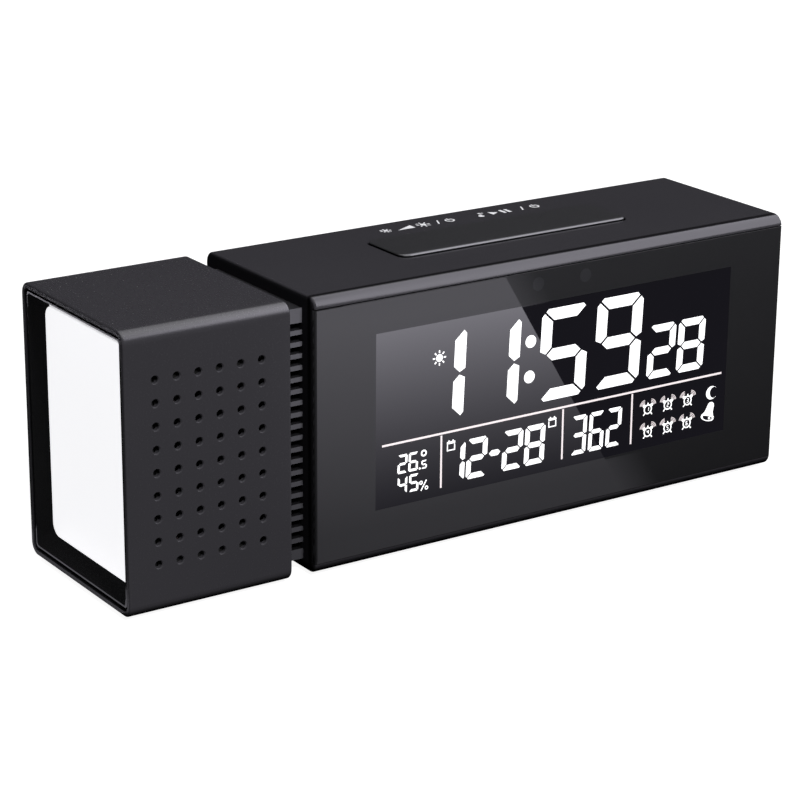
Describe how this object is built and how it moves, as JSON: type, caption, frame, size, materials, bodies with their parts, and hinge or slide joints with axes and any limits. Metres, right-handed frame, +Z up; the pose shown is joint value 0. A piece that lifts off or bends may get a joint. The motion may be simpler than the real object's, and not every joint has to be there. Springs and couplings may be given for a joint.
{
  "type": "radio alarm clock",
  "caption": "Long rectangular radio alarm clock with a glossy display front, a rocking bar on top, keys behind, and a lamp and speaker head joined to its left end by a ribbed neck.",
  "frame": {"origin": "middle of the footprint, on the table under the feet", "axes": "+X along the length to the right as the display is read, +Y from the display to the back, +Z up"},
  "size_m": [0.1906, 0.05, 0.0694],
  "materials": {
    "case_plastic": "fine satin charcoal moulding",
    "bar_plastic": "satin charcoal moulding",
    "cover_plastic": "fine-grained dark moulding",
    "key_plastic": "satin dark keys",
    "lens_acrylic": "polished dark acrylic",
    "tape_black": "black adhesive sheet",
    "display_glass": "dark display glass",
    "clear_plate": "polished clear acrylic",
    "white_plastic": "white moulding",
    "diffuser_opal": "opal white",
    "bezel_plastic": "dark bevelled frame",
    "circuit_board": "green solder mask",
    "strip_board": "white solder mask",
    "led_body": "clear resin over phosphor",
    "chip_black": "black moulded package",
    "sensor_resin": "dark clear resin",
    "plunger_plastic": "pale acetal",
    "screw_steel": "zinc-plated steel",
    "plated_steel": "bright plated steel",
    "contact_rubber": "soft elastomer",
    "gasket_foam": "closed-cell foam",
    "speaker_steel": "black painted pressing",
    "cone_paper": "pressed paper cone",
    "coil_wire": "enamelled wire",
    "magnet_ferrite": "dull ferrite",
    "cable_plastic": "grey flat cable",
    "foot_rubber": "soft black rubber"
  },
  "bodies": {
    "clock": {"backlight": "clear_plate", "bar_pin": "screw_steel", "bar_switches": "chip_black", "board_cable": "cable_plastic", "board_screws": "screw_steel", "body_neck_screws": "screw_steel", "body_shell": "case_plastic", "cell_holder": "chip_black", "climate_sensor": "white_plastic", "clock_chip": "chip_black", "coin_cell": "plated_steel", "cover_screws": "screw_steel", "feet": "foot_rubber", "front_lens": "lens_acrylic", "head_cable": "cable_plastic", "head_neck_screws": "screw_steel", "head_shell": "case_plastic", "ir_emitter": "sensor_resin", "ir_receiver": "sensor_resin", "key_board": "circuit_board", "key_board_screws": "screw_steel", "key_switches": "chip_black", "lamp_bezel": "bezel_plastic", "lamp_diffuser": "diffuser_opal", "lamp_leds": "led_body", "lamp_reflector": "white_plastic", "lamp_tray": "bezel_plastic", "lcd_holder": "white_plastic", "lcd_panel": "display_glass", "led_strip": "strip_board", "lens_tape": "tape_black", "light_guide": "clear_plate", "main_board": "circuit_board", "power_inlet": "plated_steel", "radio_module": "plated_steel", "rear_cover": "cover_plastic", "speaker_cone": "cone_paper", "speaker_frame": "speaker_steel", "speaker_gasket": "gasket_foam", "speaker_magnet": "magnet_ferrite", "speaker_screws": "screw_steel", "speaker_surround": "contact_rubber", "switch_board": "circuit_board", "switch_board_screws": "screw_steel", "vent_neck": "case_plastic", "voice_coil": "coil_wire", "zebra_strip": "contact_rubber"},
    "bar": {"top_bar": "bar_plastic"},
    "plunger_left": {"plunger_left": "plunger_plastic"},
    "plunger_right": {"plunger_right": "plunger_plastic"},
    "key_1": {"rear_key_1": "key_plastic"},
    "key_2": {"rear_key_2": "key_plastic"},
    "key_3": {"rear_key_3": "key_plastic"},
    "key_4": {"rear_key_4": "key_plastic"},
    "key_5": {"rear_key_5": "key_plastic"},
    "key_6": {"rear_key_6": "key_plastic"},
    "door": {"battery_door": "cover_plastic"}
  },
  "joints": [
    {"name": "bar_rock", "type": "hinge", "parent": "clock", "child": "bar", "pos_m": [0.02475, 0, 0.0618], "axis": [0, 1, 0], "range_deg": [-1.2, 1.2], "stiffness_Nm_per_rad": 1.2},
    {"name": "plunger_left_press", "type": "slide", "parent": "clock", "child": "plunger_left", "axis": [0, 0, 1], "range_m": [-0.0006, 0.0006]},
    {"name": "plunger_right_press", "type": "slide", "parent": "clock", "child": "plunger_right", "axis": [0, 0, 1], "range_m": [-0.0006, 0.0006]},
    {"name": "key_1_press", "type": "slide", "parent": "clock", "child": "key_1", "axis": [0, -1, 0], "range_m": [0, 0.0006], "stiffness_N_per_m": 800},
    {"name": "key_2_press", "type": "slide", "parent": "clock", "child": "key_2", "axis": [0, -1, 0], "range_m": [0, 0.0006], "stiffness_N_per_m": 800},
    {"name": "key_3_press", "type": "slide", "parent": "clock", "child": "key_3", "axis": [0, -1, 0], "range_m": [0, 0.0006], "stiffness_N_per_m": 800},
    {"name": "key_4_press", "type": "slide", "parent": "clock", "child": "key_4", "axis": [0, -1, 0], "range_m": [0, 0.0006], "stiffness_N_per_m": 800},
    {"name": "key_5_press", "type": "slide", "parent": "clock", "child": "key_5", "axis": [0, -1, 0], "range_m": [0, 0.0006], "stiffness_N_per_m": 800},
    {"name": "key_6_press", "type": "slide", "parent": "clock", "child": "key_6", "axis": [0, -1, 0], "range_m": [0, 0.0006], "stiffness_N_per_m": 800},
    {"name": "door_pull", "type": "slide", "parent": "clock", "child": "door", "axis": [0, 1, 0], "range_m": [0, 0.015]}
  ],
  "couplings": [
    {"joint": "plunger_left_press", "follows": "bar_rock", "m_per_rad": 0.026},
    {"joint": "plunger_right_press", "follows": "bar_rock", "m_per_rad": -0.026}
  ]
}
